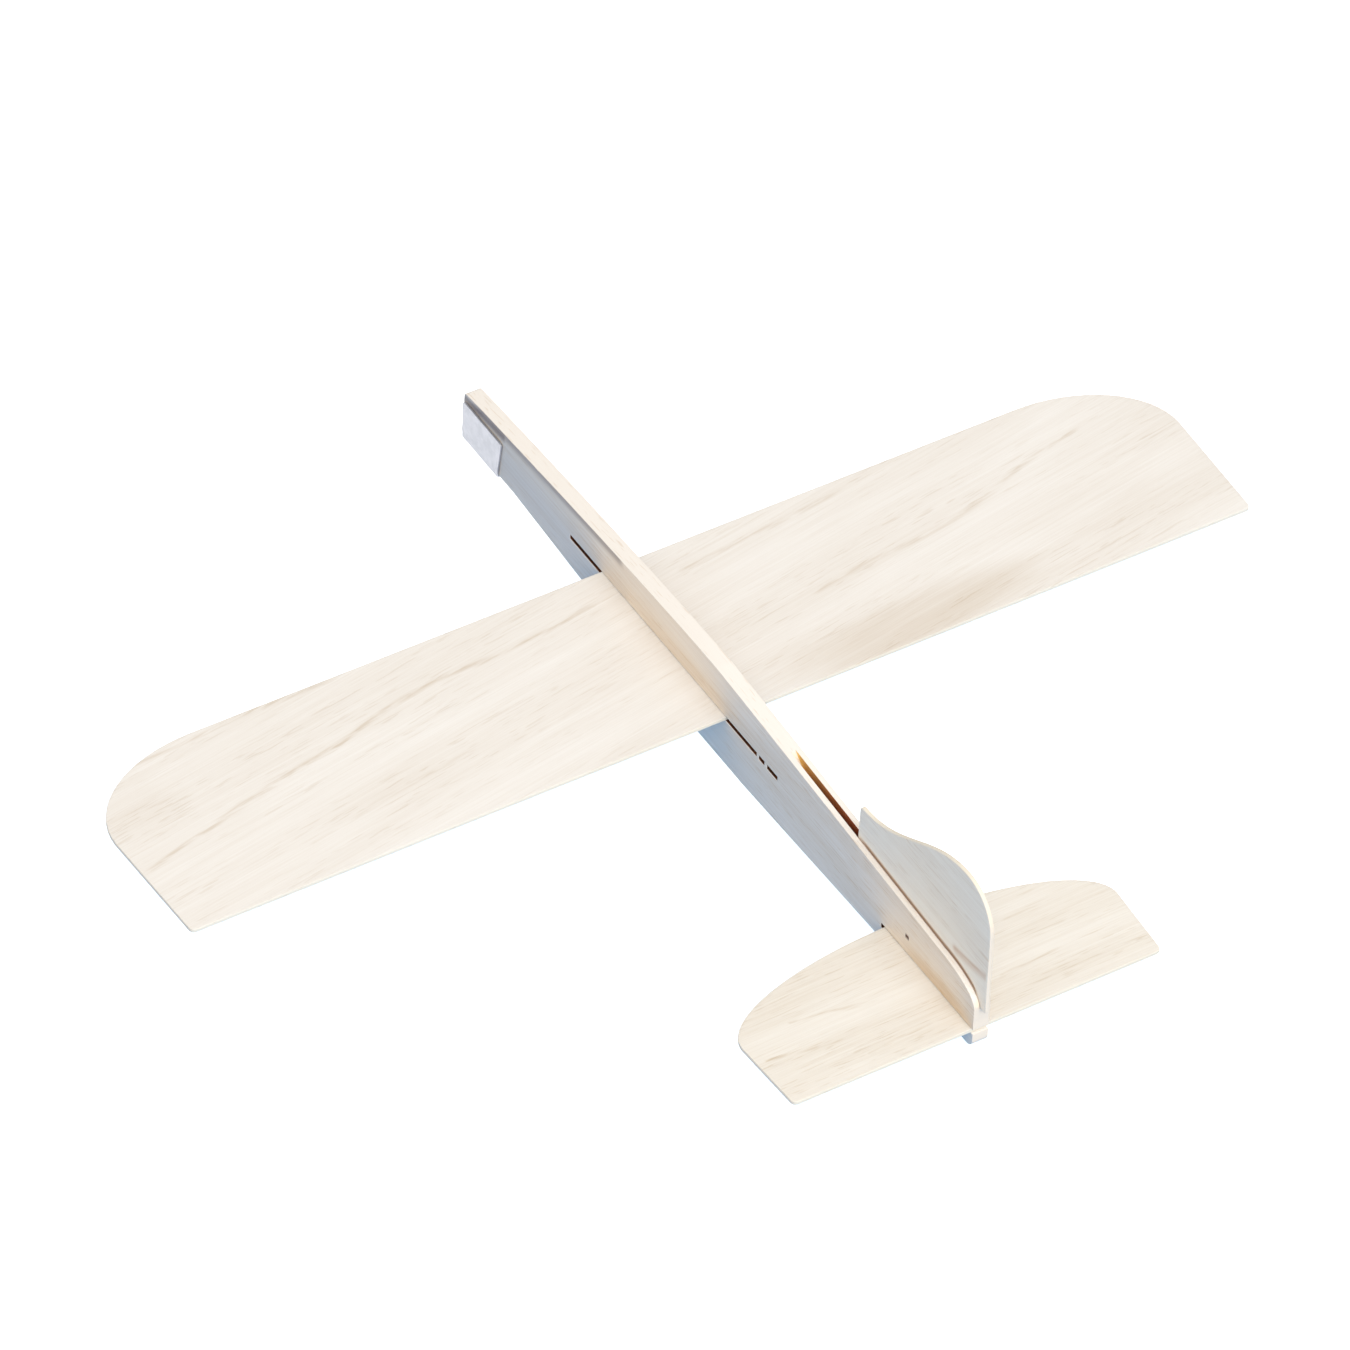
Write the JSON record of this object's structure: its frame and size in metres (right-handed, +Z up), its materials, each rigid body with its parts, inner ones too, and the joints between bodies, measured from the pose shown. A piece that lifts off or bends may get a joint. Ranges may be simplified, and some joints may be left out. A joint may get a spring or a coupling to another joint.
{
  "type": "balsa hand glider",
  "caption": "Toy hand glider of thin balsa: a stick fuselage with a level wing and tailplane pushed through slots, a fin in a groove and a folded metal nose weight.",
  "frame": {"origin": "under the middle of the overall length on the centre plane, at the height of the belly that the glider stands on", "axes": "+X to the right wing tip, +Y to the nose, +Z up"},
  "size_m": [0.216, 0.1724, 0.0365],
  "materials": {
    "fuselage_balsa": "bare balsa, grain along the stick, die-cut edges",
    "wing_balsa": "bare sanded balsa, grain along the span",
    "tail_balsa": "bare sanded balsa, grain along the span",
    "fin_balsa": "bare sanded balsa, grain along the fuselage",
    "weight_metal": "dull zinc-plated sheet steel, lightly scuffed"
  },
  "bodies": {
    "fuselage": {"fuselage": "fuselage_balsa"},
    "wing": {"wing": "wing_balsa"},
    "stabilizer": {"stabilizer": "tail_balsa"},
    "fin": {"fin": "fin_balsa"},
    "nose_weight": {"nose_weight": "weight_metal"}
  },
  "joints": [
    {"name": "wing_slide", "type": "slide", "parent": "fuselage", "child": "wing", "axis": [0, 1, 0], "range_m": [-0.01, 0.0105]},
    {"name": "stabilizer_slide", "type": "slide", "parent": "fuselage", "child": "stabilizer", "axis": [0, 1, 0], "range_m": [-0.03, 0.0008]},
    {"name": "fin_slide", "type": "slide", "parent": "fuselage", "child": "fin", "axis": [0, 1, 0], "range_m": [-0.042, 0.0028]},
    {"name": "nose_weight_slide", "type": "slide", "parent": "fuselage", "child": "nose_weight", "axis": [0, 1, 0], "range_m": [-0.0055, 0.016]}
  ]
}
